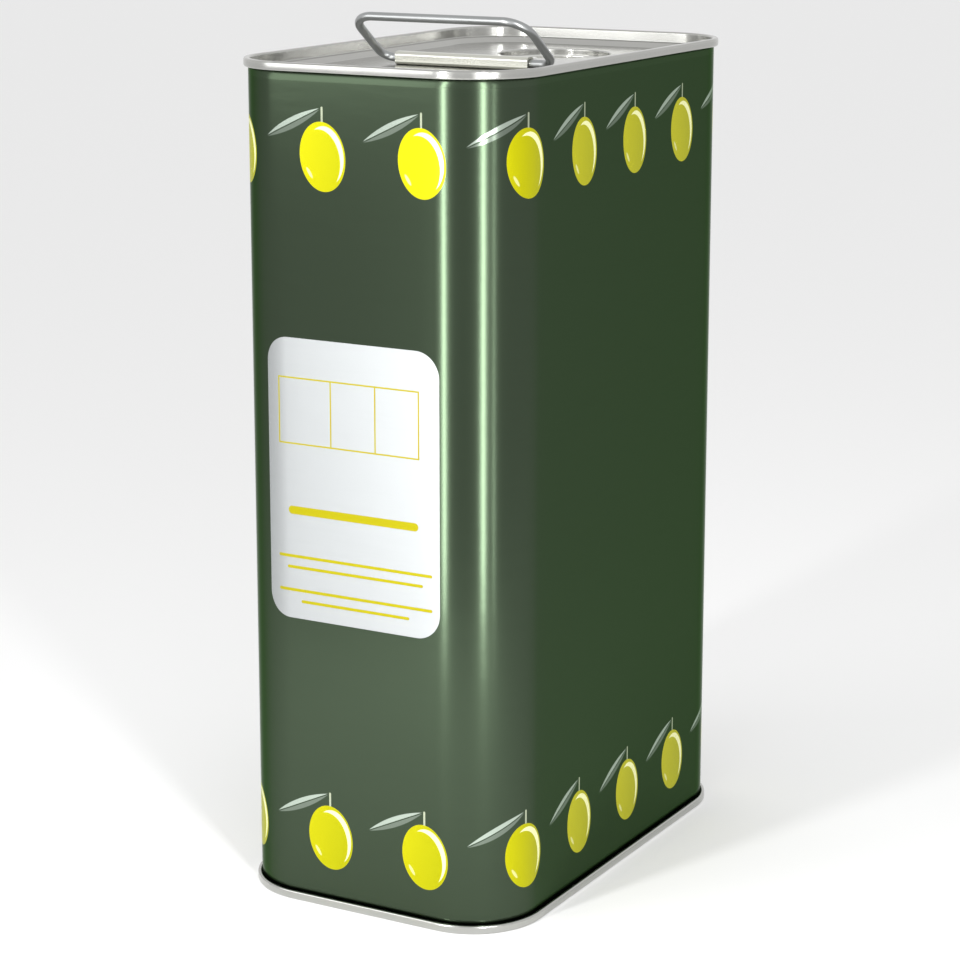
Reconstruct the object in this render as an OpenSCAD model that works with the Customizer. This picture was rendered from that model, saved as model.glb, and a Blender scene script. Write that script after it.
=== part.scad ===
// Rectangular tinplate oil can: a welded body, two double-seamed ends, a folding wire handle and a
// pull-up pouring spout with a screw cap and a fold-up pull ring. Millimetres, +Z up, origin on the floor
// under the middle of the can. The narrow faces look along Y, the broad ones along X.

/* [Can] */
// Height over both seams
total_h = 245; // [200:1:320]
// Width of the narrow face, outside the body sheet
body_w = 90.7; // [84:0.1:120]
// Depth of the broad face, outside the body sheet
body_d = 149; // [146:0.5:200]
// Radius of the upright corners
corner_r = 21; // [12:0.5:24]
// Thickness of the tinplate
sheet_t = 0.3; // [0.24:0.01:0.32]

/* [Seams and ends] */
// How far a seam stands out from the body
seam_out = 1.28; // [1.25:0.01:1.5]
// Height of a seam
seam_h = 2.5; // [2.5:0.1:3.2]
// Drop from the seam's top to the ledge round the end
ledge_drop = 3.35; // [3:0.05:4]
// Width of that ledge
ledge_w = 1.9; // [1.5:0.1:3]
// Drop from the seam's top to the flat panel
panel_drop = 5; // [4.6:0.1:6]

/* [Handle] */
// Thickness of the handle wire
wire_d = 2.5; // [2:0.1:2.6]
// Width of the handle, between the middles of its legs
handle_w = 56.6; // [54:0.2:64]
// Length of a leg, from the hinge line to the middle of the grip
handle_leg = 22.4; // [18:0.2:30]
// Bend where a leg meets the grip
grip_bend_r = 7; // [5:0.5:9]
// Bend where a leg turns in to the hinge
foot_bend_r = 4; // [3:0.5:5]
// Lean of the handle from upright, towards the front
handle_lean = 54; // [0:1:90]
// Sideways play taken up by the handle
handle_shift = 1.5; // [-1.5:0.1:1.5]
// Length of the folded bracket
bracket_l = 44; // [40:1:44]
// Place of the hinge line, in front of the can's middle
hinge_front = 16.1; // [14:0.1:20]

/* [Spout] */
// Place of the spout's axis, behind the can's middle
spout_back = 40; // [36:0.5:40]
// Radius of the seat pressed into the top end
seat_r = 17.2; // [17.2:0.1:18.5]
// Radius of the opening inside the crimp ring
ring_open_r = 14.4; // [14.4:0.05:14.6]
// Travel of the nozzle when it is pulled up
spout_travel = 22; // [12:1:30]
// Radius of the nozzle's bore at its mouth
mouth_r = 10; // [8:0.5:10]

/* [Hidden] */
$fn = 96;

// Points in one bend of a sheet
bend_steps = 4;
// Straight parts of the can's plan, between its corners
flat_w = body_w - 2 * corner_r;
flat_d = body_d - 2 * corner_r;

// Middle lines of the sheets in a seam, outwards from the body's outer face
slack = 0.05;
hook_s = slack + sheet_t / 2;
outer_s = seam_out - sheet_t / 2;
body_hook_s = (hook_s + outer_s) / 2;
wall_s = -sheet_t / 2;
chuck_s = -1.5 * sheet_t;
curl_r = 0.42;
seam_bend_r = 0.45;
hook_bend_r = 0.35;
compound_t = 0.3;
body_top = sheet_t + compound_t + sheet_t / 2;
body_hook_h = 1.25;
cover_hook_top = 1.1;
panel_bend_r = 0.5;
panel_slope = 1.2;
panel_z = total_h - panel_drop;

// The welded overlap down the middle of the back face
weld_w = 1.2;
weld_in = 0.15;
weld_out = 0.1;
weld_margin = 3;

// Bracket and handle
wire_r = wire_d / 2;
tunnel_side = wire_d + 1.4;
tunnel_corner_r = 1.2;
tunnel_bore_r = wire_r + 0.1;
hinge_y = -hinge_front;
hinge_z = panel_z + tunnel_side / 2;
flange_t = 0.4;
flange_w = 9.6;
weld_spot_r = 1.5;
weld_spot_depth = 0.12;
weld_spot_gap = 15;
pin_inner = 8;
handle_half = handle_w / 2;

// Seat in the top end
spout_y = spout_back;
seat_depth = 3.8;
seat_floor_z = panel_z - seat_depth;
seat_edge_r = 0.6;
seat_reach = 2;
neck_r = seat_r - 1.5;
neck_drop = 1.6;

// Crimp ring, gasket and collar
ring_drop = 1.7;
ring_top_z = panel_z - ring_drop;
ring_turn_down = 1.8;
gasket_t = 0.8;
flange_top_z = ring_top_z - sheet_t;
collar_r = neck_r - 0.1;
collar_flange_r = seat_r - slack - sheet_t - 0.1;
guide_r = collar_r - 0.85;
lip_r = guide_r - 1.05;
lip_top_z = ring_top_z - 2;
lip_t = 1.4;
lip_under_z = lip_top_z - lip_t;

// Nozzle
run_gap = 0.1;
stop_t = 1.4;
stop_room = 0.5;
nozzle_bottom_z = lip_under_z - stop_room - spout_travel - stop_t;
barrel_r = lip_r - run_gap;
barrel_wall = 1.2;
neck_out_r = barrel_r - 2.2;
mouth_z = lip_top_z - 2;
shoulder_z = mouth_z - 7.3;
barrel_top_z = min(shoulder_z, nozzle_bottom_z + stop_t + spout_travel);
collar_bottom_z = nozzle_bottom_z - 0.2;

// Cap, liner and pull ring
cap_r = lip_r - 0.4;
cap_top_z = ring_top_z - 2.3;
cap_top_t = 1.1;
cap_bottom_z = shoulder_z + 0.4;
cap_edge_r = 0.5;
thread_gap = 0.25;
liner_gap = 0.1;
liner_r = neck_out_r - 0.1;
ring_pivot_z = cap_top_z + 1.3;
ring_pin_r = 0.6;
ring_bore_r = 0.65;
lug_r = 1.2;
lug_in = 6.4;
lug_out = 9.4;
ring_in_r = 9.8;
ring_out_r = 12;
ring_t = 1.2;
boss_r = 0.9;

function unit(v) = v / norm(v);
function left_of(v) = [-v.y, v.x];

// Points of the arc of radius r that rounds the corner b between a and c
function bend(a, b, c, r) =
    let (to_a = unit(a - b), to_c = unit(c - b))
    let (half = acos(max(-1, min(1, to_a * to_c))) / 2)
    let (centre = b + unit(to_a + to_c) * r / sin(half))
    let (from = b + to_a * r / tan(half) - centre)
    let (start = atan2(from.y, from.x))
    let (turn = sign(cross(b - a, c - b)) * (180 - 2 * half))
    [for (i = [0:bend_steps]) centre + r * [cos(start + turn * i / bend_steps), sin(start + turn * i / bend_steps)]];

// A path of corner points p with a bend of radius r[i] at each inner corner
function bent(p, r) =
    concat([p[0]], [for (i = [1:len(p) - 2]) each bend(p[i - 1], p[i], p[i + 1], r[i - 1])], [p[len(p) - 1]]);

// Point i of path q moved sideways by d, mitred between its two runs
function beside(q, i, d) =
    let (before = left_of(unit(i > 0 ? q[i] - q[i - 1] : q[1] - q[0])))
    let (after = i < len(q) - 1 ? left_of(unit(q[i + 1] - q[i])) : before)
    let (mitre = unit(before + after))
    q[i] + mitre * d / (mitre * before);

// The cut edge of a sheet of thickness t that follows the path p with bends r
module sheet_edge(p, r, t = sheet_t) {
    q = bent(p, r);
    last = len(q) - 1;
    polygon(concat([for (i = [0:last]) beside(q, i, t / 2)], [for (i = [last:-1:0]) beside(q, i, -t / 2)]));
}

// Carries a flat section round the can. Its x is measured outwards from the body's outer face.
module round_the_can() {
    for (half_turn = [0, 180]) {
        rotate(half_turn) {
            translate([body_w / 2, flat_d / 2, 0]) rotate([90, 0, 0]) linear_extrude(flat_d) children();
            translate([flat_w / 2, flat_d / 2, 0])
                rotate_extrude(angle = 90) translate([corner_r, 0]) children();
            translate([-flat_w / 2, body_d / 2, 0])
                rotate([90, 0, 90]) linear_extrude(flat_w) children();
            translate([-flat_w / 2, flat_d / 2, 0])
                rotate(90) rotate_extrude(angle = 90) translate([corner_r, 0]) children();
        }
    }
}

// One end, as pressed and seamed: its seam's top is at z = 0 and the panel lies below
module end_sheet() {
    seam_foot = -(seam_h - sheet_t / 2);
    ledge_mid = -(ledge_drop + sheet_t / 2);
    panel_mid = -(panel_drop + sheet_t / 2);
    ledge_s = chuck_s - ledge_w;
    round_the_can()
        sheet_edge([[hook_s, -cover_hook_top], [hook_s, seam_foot], [outer_s, seam_foot],
                    [outer_s, -sheet_t / 2], [chuck_s, -sheet_t / 2], [chuck_s, ledge_mid],
                    [ledge_s, ledge_mid], [ledge_s - panel_slope, panel_mid], [-corner_r, panel_mid]],
                   [curl_r, curl_r, seam_bend_r, seam_bend_r, panel_bend_r, panel_bend_r, panel_bend_r]);
    translate([-flat_w / 2, -flat_d / 2, -panel_drop - sheet_t])
        cube([flat_w, flat_d, sheet_t]);
}

// Sealing compound between an end and the body's hook, for a seam whose top is at z = 0
module seam_compound() {
    round_the_can()
        translate([0, -sheet_t - compound_t])
            square([outer_s - seam_bend_r - 0.02, compound_t]);
}

module body_shell() {
    color("darkgreen") {
        round_the_can()
            sheet_edge([[body_hook_s, total_h - body_top - body_hook_h], [body_hook_s, total_h - body_top],
                        [wall_s, total_h - body_top], [wall_s, body_top], [body_hook_s, body_top],
                        [body_hook_s, body_top + body_hook_h]],
                       [hook_bend_r, hook_bend_r, hook_bend_r, hook_bend_r]);
        translate([-weld_w / 2, body_d / 2 - sheet_t - weld_in, seam_h + weld_margin])
            cube([weld_w, sheet_t + weld_in + weld_out, total_h - 2 * (seam_h + weld_margin)]);
    }
}

module top_end() {
    color("silver") {
        difference() {
            translate([0, 0, total_h]) end_sheet();
            translate([0, spout_y, panel_z - 1])
                cylinder(r = seat_r + seat_reach - 0.5, h = 2);
        }
        translate([0, spout_y, 0])
            rotate_extrude()
                sheet_edge([[seat_r + seat_reach, panel_z - sheet_t / 2],
                            [seat_r + sheet_t / 2, panel_z - sheet_t / 2],
                            [seat_r + sheet_t / 2, seat_floor_z - sheet_t / 2],
                            [neck_r + sheet_t / 2, seat_floor_z - sheet_t / 2],
                            [neck_r + sheet_t / 2, seat_floor_z - neck_drop]],
                           [seat_edge_r, hook_bend_r, hook_bend_r]);
    }
}

module bottom_end() {
    color("silver") mirror([0, 0, 1]) end_sheet();
}

module top_seam_compound() {
    color("dimgray") translate([0, 0, total_h]) seam_compound();
}

module bottom_seam_compound() {
    color("dimgray") mirror([0, 0, 1]) seam_compound();
}

// Square tunnel with rounded edges, drawn round its own middle
module tunnel_section() {
    side = tunnel_side / 2 - tunnel_corner_r;
    square([2 * side, tunnel_side], center = true);
    square([tunnel_side, 2 * side], center = true);
    for (x = [-side, side], y = [-side, side]) translate([x, y]) circle(r = tunnel_corner_r);
}

module handle_bracket() {
    color("silver") difference() {
        translate([-bracket_l / 2, hinge_y, 0]) rotate([90, 0, 90]) linear_extrude(bracket_l) {
            translate([0, hinge_z]) tunnel_section();
            translate([0, panel_z]) square([flange_w, flange_t]);
        }
        translate([-bracket_l, hinge_y, hinge_z]) rotate([0, 90, 0])
            cylinder(r = tunnel_bore_r, h = 2 * bracket_l);
        for (i = [-1:1])
            translate([i * weld_spot_gap, hinge_y + (flange_w + tunnel_side / 2) / 2,
                       panel_z + flange_t - weld_spot_depth])
                cylinder(r = weld_spot_r, h = 1);
    }
}

// A bend of the wire in the handle's own plane, from one heading to the next quarter turn
module wire_bend(r, from) {
    rotate([90, 0, 0]) rotate(from) rotate_extrude(angle = 90) translate([r, 0]) circle(r = wire_r);
}

module wire_handle() {
    color("darkgray")
        translate([handle_shift, hinge_y, hinge_z]) rotate([handle_lean, 0, 0]) {
            for (side = [0, 1]) mirror([side, 0, 0]) {
                translate([pin_inner, 0, 0]) rotate([0, 90, 0])
                    cylinder(r = wire_r, h = handle_half - foot_bend_r - pin_inner);
                translate([handle_half - foot_bend_r, 0, foot_bend_r]) wire_bend(foot_bend_r, -90);
                translate([handle_half, 0, foot_bend_r])
                    cylinder(r = wire_r, h = handle_leg - foot_bend_r - grip_bend_r);
                translate([handle_half - grip_bend_r, 0, handle_leg - grip_bend_r])
                    wire_bend(grip_bend_r, 0);
            }
            translate([grip_bend_r - handle_half, 0, handle_leg]) rotate([0, 90, 0])
                cylinder(r = wire_r, h = 2 * (handle_half - grip_bend_r));
        }
}

module crimp_ring() {
    outer = seat_r - slack - sheet_t / 2;
    inner = ring_open_r + sheet_t / 2;
    top = ring_top_z - sheet_t / 2;
    color("gainsboro") translate([0, spout_y, 0])
        rotate_extrude()
            sheet_edge([[outer, seat_floor_z + 0.3], [outer, top], [inner, top],
                        [inner, ring_top_z - ring_turn_down]],
                       [hook_bend_r, hook_bend_r]);
}

module spout_gasket() {
    color("black") translate([0, spout_y, seat_floor_z]) difference() {
        cylinder(r = collar_flange_r, h = gasket_t);
        translate([0, 0, -1]) cylinder(r = neck_r + 0.25, h = gasket_t + 2);
    }
}

module spout_collar() {
    color("white") translate([0, spout_y, 0]) rotate_extrude()
        polygon([[guide_r, collar_bottom_z], [collar_r, collar_bottom_z],
                 [collar_r, seat_floor_z + gasket_t], [collar_flange_r, seat_floor_z + gasket_t],
                 [collar_flange_r, flange_top_z - 0.3], [collar_flange_r - 0.3, flange_top_z],
                 [guide_r + 0.05, flange_top_z],
                 [guide_r + 0.05, lip_top_z], [lip_r, lip_top_z], [lip_r, lip_under_z],
                 [guide_r, lip_under_z]]);
}

module spout_nozzle() {
    color("white") translate([0, spout_y, 0]) rotate_extrude()
        polygon([[barrel_r - barrel_wall, nozzle_bottom_z], [guide_r - run_gap, nozzle_bottom_z],
                 [guide_r - run_gap, nozzle_bottom_z + stop_t], [barrel_r, nozzle_bottom_z + stop_t],
                 [barrel_r, barrel_top_z - 0.6], [barrel_r - 0.6, barrel_top_z],
                 [neck_out_r, barrel_top_z], [neck_out_r, mouth_z - 0.4], [neck_out_r - 0.4, mouth_z],
                 [mouth_r + 0.3, mouth_z], [mouth_r, mouth_z - 0.5], [mouth_r, barrel_top_z - 1.2],
                 [barrel_r - barrel_wall, barrel_top_z - 1.2 - (barrel_r - barrel_wall - mouth_r)]]);
}

module cap_liner() {
    color("lightgray") translate([0, spout_y, mouth_z + liner_gap])
        cylinder(r = liner_r, h = cap_top_z - cap_top_t - mouth_z - liner_gap);
}

module screw_cap() {
    thread_r = neck_out_r + thread_gap;
    color("white") translate([0, spout_y, 0]) {
        rotate_extrude()
            polygon([[0, cap_top_z - cap_top_t], [thread_r, cap_top_z - cap_top_t],
                     [thread_r, cap_bottom_z], [cap_r, cap_bottom_z], [cap_r, cap_top_z - cap_edge_r],
                     [cap_r - cap_edge_r, cap_top_z], [0, cap_top_z]]);
        difference() {
            for (side = [0, 1]) mirror([side, 0, 0]) {
                translate([lug_in, 0, ring_pivot_z]) rotate([0, 90, 0])
                    cylinder(r = lug_r, h = lug_out - lug_in);
                translate([lug_in, -lug_r, cap_top_z - 0.2])
                    cube([lug_out - lug_in, 2 * lug_r, ring_pivot_z - cap_top_z + 0.2]);
            }
            translate([-cap_r, 0, ring_pivot_z]) rotate([0, 90, 0])
                cylinder(r = ring_bore_r, h = 2 * cap_r);
        }
    }
}

module pull_ring() {
    color("white") translate([0, spout_y, ring_pivot_z]) {
        rotate(180) rotate_extrude(angle = 180)
            translate([ring_in_r, -ring_t / 2]) square([ring_out_r - ring_in_r, ring_t]);
        for (side = [0, 1]) mirror([side, 0, 0]) {
            translate([ring_in_r, 0, 0]) rotate([0, 90, 0])
                cylinder(r = boss_r, h = ring_out_r - ring_in_r);
            translate([lug_in + 0.3, 0, 0]) rotate([0, 90, 0])
                cylinder(r = ring_pin_r, h = ring_in_r - lug_in);
        }
    }
}

body_shell();
top_end();
bottom_end();
top_seam_compound();
bottom_seam_compound();
handle_bracket();
wire_handle();
crimp_ring();
spout_gasket();
spout_collar();
spout_nozzle();
cap_liner();
screw_cap();
pull_ring();
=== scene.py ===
import math

import bmesh
import bpy
import numpy as np
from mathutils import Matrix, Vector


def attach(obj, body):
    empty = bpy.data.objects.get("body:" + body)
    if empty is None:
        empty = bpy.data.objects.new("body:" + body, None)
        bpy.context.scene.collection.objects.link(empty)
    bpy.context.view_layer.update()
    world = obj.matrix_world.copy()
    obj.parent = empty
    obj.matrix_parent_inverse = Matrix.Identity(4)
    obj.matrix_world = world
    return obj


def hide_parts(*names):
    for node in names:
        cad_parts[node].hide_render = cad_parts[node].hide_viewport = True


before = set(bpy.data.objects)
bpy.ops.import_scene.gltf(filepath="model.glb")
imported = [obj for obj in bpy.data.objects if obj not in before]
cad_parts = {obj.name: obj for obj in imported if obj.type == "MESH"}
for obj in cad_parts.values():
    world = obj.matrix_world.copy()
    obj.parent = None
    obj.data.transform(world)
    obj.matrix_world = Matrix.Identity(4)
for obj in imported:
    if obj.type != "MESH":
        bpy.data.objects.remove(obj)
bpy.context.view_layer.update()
MM = 0.001

# Camera: the photograph's view, through a long lens from the right of the label face and a little above
# the lid. The lens is shifted down by a twentieth of the picture, as the photograph's framing needs.
view_turn, view_dip = math.radians(29.445), math.radians(12.62)
view_distance, view_aside, view_height = 837.3, -3.125, 128.7
view_back = np.array([math.sin(view_turn) * math.cos(view_dip),
                      -math.cos(view_turn) * math.cos(view_dip), math.sin(view_dip)])
view_right = np.array([math.cos(view_turn), math.sin(view_turn), 0.0])
view_up = np.array([0.0, 0.0, 1.0])
camera = bpy.data.objects.new("camera", bpy.data.cameras.new("camera"))
bpy.context.scene.collection.objects.link(camera)
camera.data.sensor_width = 36
camera.data.lens = 103.56
camera.data.shift_y = -0.05
camera.rotation_mode = "QUATERNION"
camera.location = MM * (view_distance * view_back + view_aside * view_right + view_height * view_up)
camera.rotation_quaternion = Vector(-view_back).to_track_quat("-Z", "Y")
bpy.context.scene.camera = camera
bpy.context.scene.view_settings.view_transform = "Standard"

# Sky: an even white sky all round, which the bright metal mirrors.
sky_strength = 0.9
world = bpy.data.worlds.new("studio_sky")
world.use_nodes = True
world.node_tree.nodes["Background"].inputs["Color"].default_value = (1.0, 1.0, 1.0, 1)
world.node_tree.nodes["Background"].inputs["Strength"].default_value = sky_strength
bpy.context.scene.world = world


def new_material(name):
    """A material with its node tree and its Principled shader."""
    material = bpy.data.materials.new(name)
    material.use_nodes = True
    return material, material.node_tree, material.node_tree.nodes["Principled BSDF"]


def mesh_piece(name, points, faces, material):
    """A smooth mesh object at the origin from an (n, 3) array of points in metres and a list of faces."""
    mesh = bpy.data.meshes.new(name)
    mesh.from_pydata(np.asarray(points, float).tolist(), [], [list(map(int, face)) for face in faces])
    mesh.materials.append(material)
    mesh.polygons.foreach_set("use_smooth", [True] * len(mesh.polygons))
    mesh.update()
    piece = bpy.data.objects.new(name, mesh)
    bpy.context.scene.collection.objects.link(piece)
    return piece


# Floor: a plain pale studio floor, painted matt.
floor_half = 6.0
floor_tone, floor_roughness = 0.9, 0.9
floor_paint, _, floor_shader = new_material("floor_paint")
floor_shader.inputs["Base Color"].default_value = (floor_tone, floor_tone, floor_tone, 1)
floor_shader.inputs["Roughness"].default_value = floor_roughness
floor_corners = [(-floor_half, -floor_half, 0), (floor_half, -floor_half, 0),
                 (floor_half, floor_half, 0), (-floor_half, floor_half, 0)]
floor = mesh_piece("floor", floor_corners, [(0, 1, 2, 3)], floor_paint)


# Lamps: one broad soft panel to the left of the label face, and upright strips that draw the bright lines
# down the front corner. They are out of the camera's sight.
def soft_panel(name, azimuth, distance, width, height, foot, radiance):
    """An upright area light that faces the can from a compass angle in degrees, 0 in front of the label
    face. Sizes are in metres. Power is pi x area x radiance, so radiance compares with a white sky's 1."""
    lamp = bpy.data.lights.new(name, "AREA")
    lamp.shape = "RECTANGLE"
    lamp.size = width
    lamp.size_y = height
    lamp.energy = radiance * math.pi * width * height
    holder = bpy.data.objects.new(name, lamp)
    bpy.context.scene.collection.objects.link(holder)
    angle = math.radians(azimuth)
    outward = Vector((math.sin(angle), -math.cos(angle), 0))
    holder.location = outward * distance + Vector((0, 0, foot + height / 2))
    holder.rotation_mode = "QUATERNION"
    holder.rotation_quaternion = outward.to_track_quat("Z", "Y")
    holder.visible_camera = False


soft_panel("left_panel", azimuth=-38, distance=0.55, width=0.3, height=0.3, foot=0.2, radiance=2.4)
soft_panel("left_strip", azimuth=-9, distance=0.42, width=0.035, height=0.5, foot=0.0, radiance=24.0)
soft_panel("right_strip", azimuth=42, distance=0.42, width=0.035, height=0.5, foot=0.0, radiance=24.0)
soft_panel("thin_strip", azimuth=56, distance=0.42, width=0.012, height=0.42, foot=0.0, radiance=12.0)

# Body sheet: one sheet of tinplate, printed flat, bent round four corners and welded up the back. It is
# 0.3 mm thick, and its two edges disappear in the seams. Its map holds the sheet's own millimetres, x
# round the can from the weld and y up from the floor, which is how the print was laid out.
body_w, body_d, corner_r = 90.7, 149.0, 21.0
total_h = 245.0
sheet_t = 0.3
flat_w, flat_d = body_w - 2 * corner_r, body_d - 2 * corner_r
round_length = 2 * (flat_w + flat_d) + 2 * math.pi * corner_r
front_middle = round_length / 2
print_edge_hidden = 1.0
body_rows = 60


def plan_of_can(per_flat=16, per_corner=24):
    """Stations round the can, anticlockwise from the weld: the plan point, the outward direction and the
    distance along the sheet, as arrays. A run is its length and the compass angle that it faces. One with
    no length is a corner, an arc of radius corner_r about a centre that lies inward of its start."""
    runs = [(flat_w / 2, 90), (None, 90), (flat_d, 180), (None, 180), (flat_w, 270), (None, 270),
            (flat_d, 0), (None, 0), (flat_w / 2, 90)]
    spots, outs, walked = [], [], []
    here, way = np.array([0.0, body_d / 2]), 0.0
    for length, faces in runs:
        angle = math.radians(faces)
        out = np.array([math.cos(angle), math.sin(angle)])
        along = np.array([-math.sin(angle), math.cos(angle)])
        if length is None:
            share = np.arange(per_corner) / per_corner
            turned = angle + share * math.pi / 2
            centre = here - corner_r * out
            outward = np.c_[np.cos(turned), np.sin(turned)]
            spots.append(centre + corner_r * outward)
            here = centre + corner_r * along
            length = corner_r * math.pi / 2
        else:
            n = max(4, int(per_flat * length / flat_d) + 2)
            share = np.arange(n) / n
            outward = np.tile(out, (n, 1))
            spots.append(here + np.outer(share * length, along))
            here = here + length * along
        outs.append(outward)
        walked.append(way + share * length)
        way += length
    return np.vstack(spots), np.vstack(outs), np.concatenate(walked)


can_spots, can_outs, can_walk = plan_of_can()
stations = len(can_spots)


def swept(profile):
    """Points of a section carried round the can: plan point + s x outward direction, at height z, for each
    (s, z) of the profile in millimetres. The result is (stations, profile points, 3)."""
    s, z = profile[:, 0], profile[:, 1]
    xy = can_spots[:, None] + s[None, :, None] * can_outs[:, None]
    return np.concatenate([xy, np.broadcast_to(z[None, :, None], (*xy.shape[:2], 1))], 2)


def grid_faces(n, m, flip=False):
    """Quads of an n by m grid of points that closes on itself along n."""
    i, j = np.meshgrid(np.arange(n), np.arange(m - 1), indexing="ij")
    k = (i + 1) % n
    quads = np.stack([i * m + j, k * m + j, k * m + j + 1, i * m + j + 1], -1).reshape(-1, 4)
    return quads[:, ::-1] if flip else quads


def thickened(piece):
    """Puts the sheet's thickness behind a modelled face."""
    wall = piece.modifiers.new("wall", "SOLIDIFY")
    wall.thickness = sheet_t * MM
    wall.offset = -1
    wall.use_even_offset = True


def maths(tree):
    """A function that adds one Math node to a tree: its operation, then numbers or sockets. It gives the
    node's output, so a formula is written as nested calls."""
    def work(operation, *terms):
        made = tree.nodes.new("ShaderNodeMath")
        made.operation = operation
        for place, term in zip(made.inputs, terms):
            if isinstance(term, bpy.types.NodeSocket):
                tree.links.new(term, place)
            else:
                place.default_value = term
        return made.outputs[0]
    return work


def mixed(tree, factor, under, over):
    """Colour over on colour under, by the factor. Each is a socket or a linear RGB triple."""
    mix = tree.nodes.new("ShaderNodeMix")
    mix.data_type = "RGBA"
    tree.links.new(factor, mix.inputs["Factor"])
    for socket, colour in ((mix.inputs[6], under), (mix.inputs[7], over)):
        if isinstance(colour, bpy.types.NodeSocket):
            tree.links.new(colour, socket)
        else:
            socket.default_value = (*colour, 1)
    return mix.outputs[2]


def placed(tree, group, **values):
    """A node that stands for a group in a tree, with its inputs set or linked by name."""
    made = tree.nodes.new("ShaderNodeGroup")
    made.node_tree = group
    for key, value in values.items():
        if isinstance(value, bpy.types.NodeSocket):
            tree.links.new(value, made.inputs[key])
        else:
            made.inputs[key].default_value = value
    return made


def new_group(name, inputs, outputs):
    """A node group with named sockets. It gives the group, its input sockets and its output sockets."""
    group = bpy.data.node_groups.new(name, "ShaderNodeTree")
    for socket, kind in inputs.items():
        group.interface.new_socket(socket, in_out="INPUT", socket_type=kind)
    for socket in outputs:
        group.interface.new_socket(socket, in_out="OUTPUT", socket_type="NodeSocketFloat")
    given = group.nodes.new("NodeGroupInput")
    result = group.nodes.new("NodeGroupOutput")
    return group, given.outputs, result.inputs


def grain_group():
    """Rolling grain of a metal or the tool marks of a moulding: noise in object coordinates, drawn out by
    Stretch. Height is the noise about 0, and Tone is 1 + Depth x Height."""
    group, given, result = new_group("tinplate_grain", {"Stretch": "NodeSocketVector",
                                                        "Depth": "NodeSocketFloat"}, ["Tone", "Height"])
    scaled = group.nodes.new("ShaderNodeVectorMath")
    scaled.operation = "MULTIPLY"
    group.links.new(group.nodes.new("ShaderNodeTexCoord").outputs["Object"], scaled.inputs[0])
    group.links.new(given["Stretch"], scaled.inputs[1])
    noise = group.nodes.new("ShaderNodeTexNoise")
    noise.inputs["Scale"].default_value = 1.0
    noise.inputs["Detail"].default_value = 4.0
    group.links.new(scaled.outputs[0], noise.inputs["Vector"])
    m = maths(group)
    height = m("SUBTRACT", noise.outputs["Fac"], 0.5)
    group.links.new(m("ADD", m("MULTIPLY", height, given["Depth"]), 1.0), result["Tone"])
    group.links.new(height, result["Height"])
    return group


grain = grain_group()
ink_edge = 0.1


def inked(m, distance):
    """1 inside a shape and 0 outside, from the signed distance to its edge in millimetres."""
    return m("MINIMUM", m("MAXIMUM", m("MULTIPLY_ADD", distance, -1 / ink_edge, 0.5), 0.0), 1.0)


def oval(m, x, y, middle, radii, tilt=0):
    """Signed distance, nearly, of an oval: the length of the turned and scaled place less 1, times the
    smaller radius. The tilt is in degrees, anticlockwise."""
    c, s = math.cos(math.radians(tilt)), math.sin(math.radians(tilt))
    rx, ry = radii
    dx, dy = m("SUBTRACT", x, middle[0]), m("SUBTRACT", y, middle[1])
    along = m("ADD", m("MULTIPLY", dx, c / rx), m("MULTIPLY", dy, s / rx))
    across = m("ADD", m("MULTIPLY", dx, -s / ry), m("MULTIPLY", dy, c / ry))
    length = m("SQRT", m("ADD", m("MULTIPLY", along, along), m("MULTIPLY", across, across)))
    return m("MULTIPLY", m("SUBTRACT", length, 1.0), min(rx, ry))


def bar(m, x, y, middle, size, r=0.0):
    """Signed distance of an upright box of that width and height, with corners of radius r."""
    qx = m("SUBTRACT", m("ABSOLUTE", m("SUBTRACT", x, middle[0])), size[0] / 2 - r)
    qy = m("SUBTRACT", m("ABSOLUTE", m("SUBTRACT", y, middle[1])), size[1] / 2 - r)
    ox, oy = m("MAXIMUM", qx, 0.0), m("MAXIMUM", qy, 0.0)
    outside = m("SQRT", m("ADD", m("MULTIPLY", ox, ox), m("MULTIPLY", oy, oy)))
    inside = m("MINIMUM", m("MAXIMUM", qx, qy), 0.0)
    return m("SUBTRACT", m("ADD", outside, inside), r)


# The print's two borders: an olive every fourteenth of the way round, with a stalk and a pale leaf. Places
# are in millimetres from the olive's middle, and a shape is its middle and its radii or its size.
fruit_pitch = round_length / 14
fruit_first = front_middle - 11.3
lower_row, upper_row = 21.1, 219.5
fruit_radii, fruit_tilt = (7.4, 9.7), 8
crescent_middle, crescent_radii = (0.9, 0.3), (5.9, 8.2)
bite_middle, bite_radii = (-0.7, -1.0), (6.4, 8.6)
glint_middle, glint_radii, glint_tilt, glint_share = (-4.3, -4.6), (0.45, 1.7), 34, 0.55
stalk_middle, stalk_size, stalk_end_r = (-0.1, 11.6), (0.64, 4.4), 0.3
leaf_tip, leaf_base = np.array([-19.0, 4.6]), np.array([-0.4, 13.4])
leaf_sag, midrib_half = 1.5, 0.16
leaf_dark_half, leaf_gain = 0.3, 0.6
leaf_reach = 24.0
shade_slope = 0.05


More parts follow.
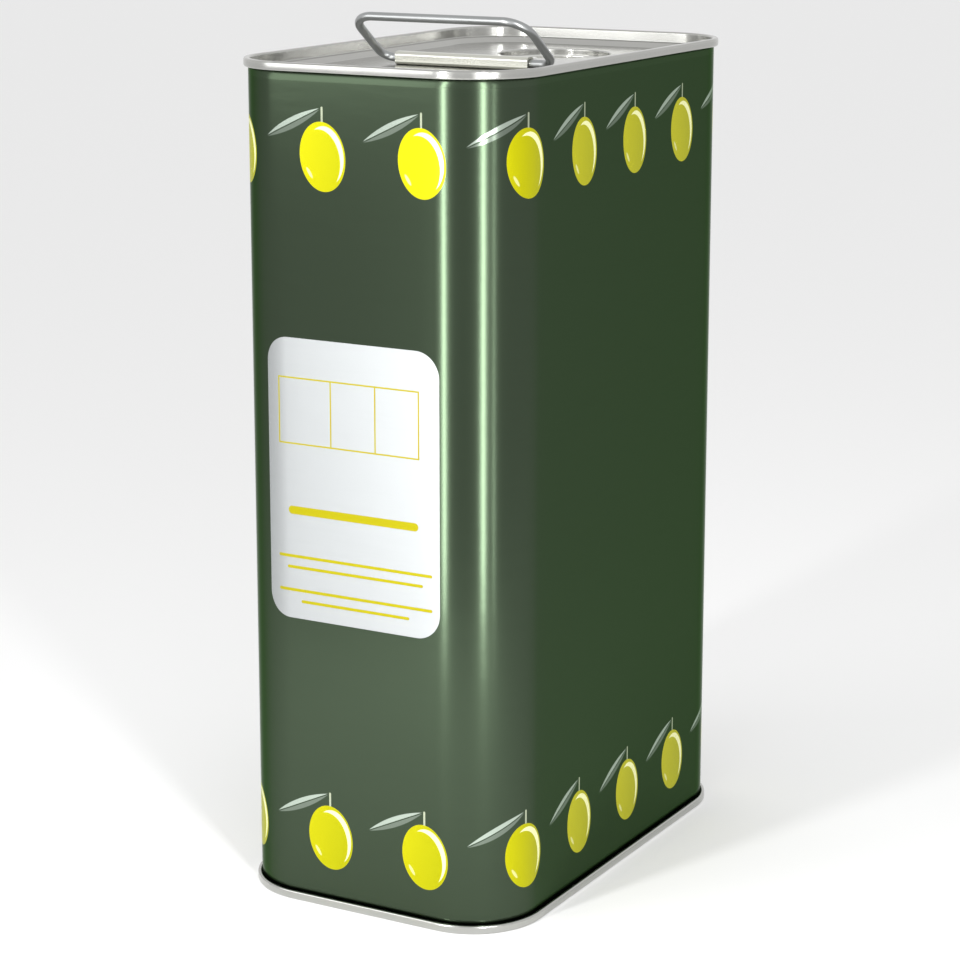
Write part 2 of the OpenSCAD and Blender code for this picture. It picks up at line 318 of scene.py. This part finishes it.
def border_group():
    """Ink masks of one olive, repeated round the can: the row is chosen by height, and the place in it is
    the distance past the last olive, by a floored modulo. The leaf is the overlap of two large discs whose
    radius is (half chord^2 + sag^2) / (2 sag), less its midrib."""
    masks = ["Fruit", "Shine", "Leaf", "Stalk", "Shade"]
    group, given, result = new_group("olive_border", {"Sheet": "NodeSocketVector"}, masks)
    m = maths(group)
    parts = group.nodes.new("ShaderNodeSeparateXYZ")
    group.links.new(given["Sheet"], parts.inputs[0])
    x, y = parts.outputs[0], parts.outputs[1]
    in_upper = m("GREATER_THAN", y, total_h / 2)
    h = m("SUBTRACT", m("SUBTRACT", y, lower_row), m("MULTIPLY", in_upper, upper_row - lower_row))
    near = m("SUBTRACT", m("FLOORED_MODULO", m("ADD", x, fruit_pitch / 2 - fruit_first), fruit_pitch),
             fruit_pitch / 2)
    left = m("SUBTRACT", m("FLOORED_MODULO", m("ADD", x, leaf_reach - fruit_first), fruit_pitch), leaf_reach)
    fruit = inked(m, oval(m, near, h, (0, 0), fruit_radii, fruit_tilt))
    bite = inked(m, oval(m, near, h, bite_middle, bite_radii, fruit_tilt))
    crescent = m("MULTIPLY", inked(m, oval(m, near, h, crescent_middle, crescent_radii, fruit_tilt)),
                 m("SUBTRACT", 1.0, bite))
    glint = m("MULTIPLY", inked(m, oval(m, near, h, glint_middle, glint_radii, glint_tilt)), glint_share)
    run = leaf_base - leaf_tip
    side = np.array([-run[1], run[0]]) / np.linalg.norm(run)
    leaf_middle = (leaf_tip + leaf_base) / 2
    disc_r = ((np.linalg.norm(run) / 2) ** 2 + leaf_sag ** 2) / (2 * leaf_sag)
    edges = [oval(m, left, h, leaf_middle + way * side * (disc_r - leaf_sag), (disc_r, disc_r))
             for way in (-1, 1)]
    off = m("ADD", m("MULTIPLY", m("SUBTRACT", left, leaf_middle[0]), side[0]),
            m("MULTIPLY", m("SUBTRACT", h, leaf_middle[1]), side[1]))
    beside_rib = m("GREATER_THAN", m("ABSOLUTE", off), midrib_half)
    tone = m("MULTIPLY_ADD", m("GREATER_THAN", off, 0.0), leaf_gain, leaf_dark_half)
    blade = inked(m, m("MAXIMUM", *edges))
    values = {"Fruit": fruit, "Shine": m("MAXIMUM", crescent, glint),
              "Leaf": m("MULTIPLY", m("MULTIPLY", blade, beside_rib), tone),
              "Stalk": inked(m, bar(m, near, h, stalk_middle, stalk_size, stalk_end_r)),
              "Shade": m("MULTIPLY_ADD", near, shade_slope, 0.5)}
    for mask, value in values.items():
        group.links.new(value, result[mask])
    return group


# The print's label on the front narrow face: a panel of bare metal colour, ruled in yellow with a box of
# three cells and five plain bars. Places are in millimetres from the face's middle and from the floor.
label_middle, label_size, label_corner = (-2.9, 127.0), (57.0, 82.0), 7.5
cells_middle, cells_size, cell_walls = (-4.0, 147.0), (46.0, 19.0), (-9.7, 4.9)
rule_w = 0.45
bars = (((-2.7, 118.0), (43.0, 2.4)), ((-2.3, 104.4), (51.0, 0.9)), ((-2.3, 101.2), (45.0, 0.9)),
        ((-2.3, 94.4), (51.0, 0.9)), ((-2.3, 91.2), (36.0, 0.9)))


def label_group():
    """Ink masks of the label: the whole panel, and the yellow lines on it."""
    group, given, result = new_group("label_panel", {"Sheet": "NodeSocketVector"}, ["Panel", "Lines"])
    m = maths(group)
    parts = group.nodes.new("ShaderNodeSeparateXYZ")
    group.links.new(given["Sheet"], parts.inputs[0])
    y = parts.outputs[1]
    x = m("SUBTRACT", parts.outputs[0], front_middle)
    outline = m("ABSOLUTE", bar(m, x, y, cells_middle, cells_size))
    lines = inked(m, m("SUBTRACT", outline, rule_w / 2))
    for wall in cell_walls:
        lines = m("MAXIMUM", lines, inked(m, bar(m, x, y, (wall, cells_middle[1]), (rule_w, cells_size[1]))))
    for middle, size in bars:
        lines = m("MAXIMUM", lines, inked(m, bar(m, x, y, middle, size, size[1] / 2)))
    group.links.new(inked(m, bar(m, x, y, label_middle, label_size, label_corner)), result["Panel"])
    group.links.new(lines, result["Lines"])
    return group


def printed_tinplate():
    """Green lacquer on tinplate under gloss varnish, with the borders and the label in it. The lacquer and
    the label let the metal shine through, and the olives and the yellow lines half cover it."""
    deep_green, green = (0.04, 0.056, 0.036), (0.056, 0.078, 0.05)
    olive, olive_shaded, olive_shine = (0.5, 0.47, 0.0), (0.36, 0.36, 0.0), (0.85, 0.85, 0.45)
    leaf, stalk = (0.5, 0.58, 0.5), (0.5, 0.55, 0.4)
    dull_silver, silver, yellow = (0.34, 0.35, 0.355), (0.42, 0.435, 0.44), (0.33, 0.29, 0.0)
    material, tree, shader = new_material("printed_tinplate")
    m = maths(tree)
    sheet = tree.nodes.new("ShaderNodeUVMap")
    sheet.uv_map = "sheet"
    border = placed(tree, border_group(), Sheet=sheet.outputs[0]).outputs
    label = placed(tree, label_group(), Sheet=sheet.outputs[0]).outputs
    rolled = placed(tree, grain, Stretch=(60, 60, 900), Depth=0.35).outputs["Tone"]
    colour = mixed(tree, rolled, deep_green, green)
    colour = mixed(tree, border["Leaf"], colour, leaf)
    colour = mixed(tree, border["Stalk"], colour, stalk)
    colour = mixed(tree, border["Fruit"], colour, mixed(tree, border["Shade"], olive, olive_shaded))
    colour = mixed(tree, border["Shine"], colour, olive_shine)
    colour = mixed(tree, label["Panel"], colour, mixed(tree, rolled, dull_silver, silver))
    colour = mixed(tree, label["Lines"], colour, yellow)
    tree.links.new(colour, shader.inputs["Base Color"])
    cover = m("MAXIMUM", border["Fruit"], label["Lines"])
    tree.links.new(m("MULTIPLY_ADD", cover, -0.5, 1.0), shader.inputs["Metallic"])
    rough = m("MULTIPLY_ADD", label["Panel"], 0.22, 0.2)
    tree.links.new(m("MULTIPLY_ADD", cover, 0.1, rough), shader.inputs["Roughness"])
    shader.inputs["Specular Tint"].default_value = (0.42, 0.5, 0.4, 1)
    bump = tree.nodes.new("ShaderNodeBump")
    bump.inputs["Strength"].default_value = 0.12
    bump.inputs["Distance"].default_value = 0.4 * MM
    ripple = placed(tree, grain, Stretch=(35, 35, 120), Depth=1.0).outputs["Height"]
    tree.links.new(ripple, bump.inputs["Height"])
    tree.links.new(bump.outputs[0], shader.inputs["Normal"])
    return material


body_levels = np.linspace(print_edge_hidden, total_h - print_edge_hidden, body_rows)
body_points = swept(np.c_[np.zeros(body_rows), body_levels])
body_sheet = mesh_piece("printed_body", body_points.reshape(-1, 3) * MM, grid_faces(stations, body_rows),
                        printed_tinplate())
sheet_map = body_sheet.data.uv_layers.new(name="sheet")
walk_end = np.append(can_walk, round_length)
i, j = np.meshgrid(np.arange(stations), np.arange(body_rows - 1), indexing="ij")
corner_u = np.stack([walk_end[i], walk_end[i + 1], walk_end[i + 1], walk_end[i]], -1)
corner_v = np.stack([body_levels[j], body_levels[j], body_levels[j + 1], body_levels[j + 1]], -1)
sheet_map.data.foreach_set("uv", np.stack([corner_u, corner_v], -1).astype(np.float32).ravel())
thickened(body_sheet)
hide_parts("body_shell")
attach(body_sheet, "tin")

# Lid: pressed from bright tinplate and rolled round the body's edge in a double seam. Inside the seam it
# has a chuck wall, a ledge and a sunk panel, and in the panel the deep round seat of the spout.
seam_out, seam_h, ledge_drop, ledge_w, panel_drop = 1.28, 2.5, 3.35, 1.9, 5.0
seam_grip, rim_in = 0.06, 6.0
wall_s, ledge_s, slope_w = -2 * sheet_t, -0.45 - ledge_w, 1.2
seam_foot_r, seam_top_r, wall_foot_r, ledge_r = 0.57, 0.6, 0.35, 0.5
spout_y, seat_r, seat_depth, seat_floor_w = 40.0, 17.2, 3.8, 1.5
seat_mouth_r, seat_foot_r, neck_bend_r = 0.5, 0.2, 0.4


def rounded(path, radii, steps=7):
    """A path of corner points with each inner corner replaced by an arc that touches both its sides. Its
    centre lies on the corner's bisector, at radius / sin(half the corner's angle)."""
    path = np.asarray(path, float)
    made = [path[:1]]
    for before, here, after, r in zip(path, path[1:], path[2:], radii):
        u, w = before - here, after - here
        u, w = u / np.linalg.norm(u), w / np.linalg.norm(w)
        half = math.acos(float(np.clip(u @ w, -1, 1))) / 2
        middle = here + (u + w) / np.linalg.norm(u + w) * r / math.sin(half)
        a, b = here + u * r / math.tan(half) - middle, here + w * r / math.tan(half) - middle
        a0, a1 = math.atan2(a[1], a[0]), math.atan2(b[1], b[0])
        turn = (a1 - a0 + math.pi) % (2 * math.pi) - math.pi
        t = a0 + turn * np.arange(steps + 1) / steps
        made.append(middle + r * np.c_[np.cos(t), np.sin(t)])
    return np.vstack([*made, path[-1:]])


def end_points(seat_path):
    """Rings of an end, from its seam to its middle: the rim's section swept round the can, then straight
    lines from the panel's edge to a circle about the spout's axis, and that circle's (radius, height)."""
    rim = swept(rounded([(seam_grip, -seam_h), (seam_out, -seam_h), (seam_out, 0), (wall_s, 0),
                         (wall_s, -ledge_drop), (ledge_s, -ledge_drop),
                         (ledge_s - slope_w, -panel_drop), (-rim_in, -panel_drop)],
                        [seam_foot_r, seam_top_r, seam_top_r, wall_foot_r, ledge_r, ledge_r]))
    middle = np.array([0.0, spout_y])
    away = rim[:, -1, :2] - middle
    away = away / np.linalg.norm(away, axis=1)[:, None]
    round_xy = middle + away[:, None] * seat_path[None, :, :1]
    heights = np.broadcast_to(seat_path[None, :, 1:], (*round_xy.shape[:2], 1))
    return np.concatenate([rim, np.concatenate([round_xy, heights], 2)], 1)


def bare_metal(name, tone, roughness):
    """Bare rolled metal: a grey with faint grain across the can, whose roughness varies with it."""
    material, tree, shader = new_material(name)
    rolled = placed(tree, grain, Stretch=(60, 1200, 60), Depth=0.6).outputs
    colour = mixed(tree, rolled["Tone"], tuple(0.8 * c for c in tone), tone)
    tree.links.new(colour, shader.inputs["Base Color"])
    blur = maths(tree)("MULTIPLY_ADD", rolled["Height"], 0.25, roughness)
    tree.links.new(blur, shader.inputs["Roughness"])
    shader.inputs["Metallic"].default_value = 1.0
    return material


seat_floor = -panel_drop - seat_depth
seat_path = rounded([(seat_r + 3, -panel_drop), (seat_r, -panel_drop), (seat_r, seat_floor),
                     (seat_r - seat_floor_w, seat_floor), (seat_r - seat_floor_w, seat_floor - 1.5)],
                    [seat_mouth_r, seat_foot_r, neck_bend_r])
lid_points = end_points(seat_path) + np.array([0, 0, total_h])
# The lid's and base's tinplate is set a darker grey than the ring's and bracket's. This is painted shade,
# standing in for the dimmer surroundings that its panel would mirror.
tinplate = bare_metal("bright_tinplate", (0.46, 0.46, 0.44), 0.2)
lid = mesh_piece("lid", lid_points.reshape(-1, 3) * MM, grid_faces(stations, lid_points.shape[1]), tinplate)
thickened(lid)
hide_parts("top_end")
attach(lid, "tin")

# Base: the same pressing as the lid, without a seat and turned over. The can stands on its seam.
base_rings = np.array([(r, -panel_drop) for r in (12.0, 6.0, 0.05)])
base_points = end_points(base_rings) * np.array([1, 1, -1])
base = mesh_piece("base_end", base_points.reshape(-1, 3) * MM,
                  grid_faces(stations, base_points.shape[1], flip=True), tinplate)
thickened(base)
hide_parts("bottom_end")
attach(base, "tin")

# Wire handle: one length of 2.5 mm galvanised wire, bent to a loop whose two feet turn in to the bracket
# and pivot there. It leans back over the seam, as it was left.
wire_r, wire_sides = 1.25, 20
handle_half, handle_leg, pin_inner = 28.3, 22.4, 8.0
foot_bend, grip_bend, bend_steps = 4.0, 7.0, 14
handle_lean, handle_shift = math.radians(54), 1.5
hinge_y, hinge_z = -16.1, 241.95


def wire(path):
    """A round wire along a flat path: rings of radius wire_r square to the path, and its two cut ends.
    It gives points as two places in the path's plane and one off it, and the faces."""
    step = np.gradient(path, axis=0)
    along = step / np.linalg.norm(step, axis=1)[:, None]
    side = np.c_[-along[:, 1], along[:, 0]]
    a = np.arange(wire_sides) * 2 * math.pi / wire_sides
    rings = path[:, None] + wire_r * np.cos(a)[None, :, None] * side[:, None]
    off = np.broadcast_to(wire_r * np.sin(a)[None, :, None], (*rings.shape[:2], 1))
    n = len(path)
    k, q = np.meshgrid(np.arange(n - 1), np.arange(wire_sides), indexing="ij")
    q1 = (q + 1) % wire_sides
    quads = np.stack([k * wire_sides + q, (k + 1) * wire_sides + q,
                      (k + 1) * wire_sides + q1, k * wire_sides + q1], -1)
    first_end = np.arange(wire_sides)
    last_end = (n - 1) * wire_sides + first_end[::-1]
    return np.concatenate([rings, off], 2).reshape(-1, 3), [*quads.reshape(-1, 4), first_end, last_end]


half_path = rounded([(pin_inner, 0), (handle_half, 0), (handle_half, handle_leg), (0, handle_leg)],
                    [foot_bend, grip_bend], bend_steps)
handle_path = np.vstack([half_path, (half_path * [-1, 1])[::-1][1:]])
flat_points, wire_faces = wire(handle_path)
lean_y = -math.sin(handle_lean) * flat_points[:, 1] - math.cos(handle_lean) * flat_points[:, 2]
lean_z = math.cos(handle_lean) * flat_points[:, 1] - math.sin(handle_lean) * flat_points[:, 2]
handle_points = np.c_[flat_points[:, 0] + handle_shift, lean_y + hinge_y, lean_z + hinge_z]
galvanised = bare_metal("galvanised_wire", (0.36, 0.37, 0.37), 0.34)
handle = mesh_piece("handle_wire", handle_points * MM, wire_faces, galvanised)
outward = bmesh.new()
outward.from_mesh(handle.data)
bmesh.ops.recalc_face_normals(outward, faces=outward.faces)
outward.to_mesh(handle.data)
outward.free()
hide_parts("wire_handle")
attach(handle, "handle")


def dressed(cad_name, finish):
    """Gives a CAD node one material in place of its own."""
    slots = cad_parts[cad_name].data.materials
    slots.clear()
    slots.append(finish)


# Bracket: a strip of tinplate folded to a square tunnel round the wire's feet. Its rear flange is
# spot-welded to the lid's panel in three places.
dressed("handle_bracket", bare_metal("folded_tinplate", (0.62, 0.62, 0.56), 0.24))

# Crimp ring: a bright ring of tinplate, pressed down into the seat so that it grips the seat's wall and
# holds the collar's flange. Its inner edge is turned down.
dressed("crimp_ring", bare_metal("ring_tinplate", (0.66, 0.66, 0.63), 0.14))


def moulded(name, colour, roughness):
    """Moulded plastic, foam or rubber: an even colour with a fine mottled sheen from the tool's surface."""
    material, tree, shader = new_material(name)
    speckle = placed(tree, grain, Stretch=(900, 900, 900), Depth=0.5).outputs
    tone = mixed(tree, speckle["Tone"], tuple(0.93 * c for c in colour), colour)
    tree.links.new(tone, shader.inputs["Base Color"])
    blur = maths(tree)("MULTIPLY_ADD", speckle["Height"], 0.2, roughness)
    tree.links.new(blur, shader.inputs["Roughness"])
    return material


# Seam compound: rubber laid in the curl of each end as a liquid and dried there. It fills the gap in the
# fold of both seams.
compound = moulded("seam_compound", (0.12, 0.12, 0.11), 0.7)
dressed("top_seam_compound", compound)
dressed("bottom_seam_compound", compound)

# Gasket: a flat ring punched from black rubber. It lies on the seat's floor, under the collar's flange.
dressed("spout_gasket", moulded("black_rubber", (0.03, 0.03, 0.03), 0.6))

# Collar: a sleeve of white polyethylene that guides the spout. Its flange is held by the crimp ring.
white_plastic = moulded("white_polyethylene", (0.78, 0.78, 0.75), 0.38)
dressed("spout_collar", white_plastic)

# Nozzle: the spout itself, of the same plastic, which slides up through the collar to its stop.
dressed("spout_nozzle", white_plastic)

# Cap: a screw cap of the same plastic, on the nozzle's neck.
dressed("screw_cap", white_plastic)

# Cap liner: a disc of foam in the cap, which seals the nozzle's mouth.
dressed("cap_liner", moulded("liner_foam", (0.72, 0.72, 0.68), 0.7))

# Pull ring: a ring on two lugs of the cap, folded flat, which pulls the spout up.
dressed("pull_ring", white_plastic)
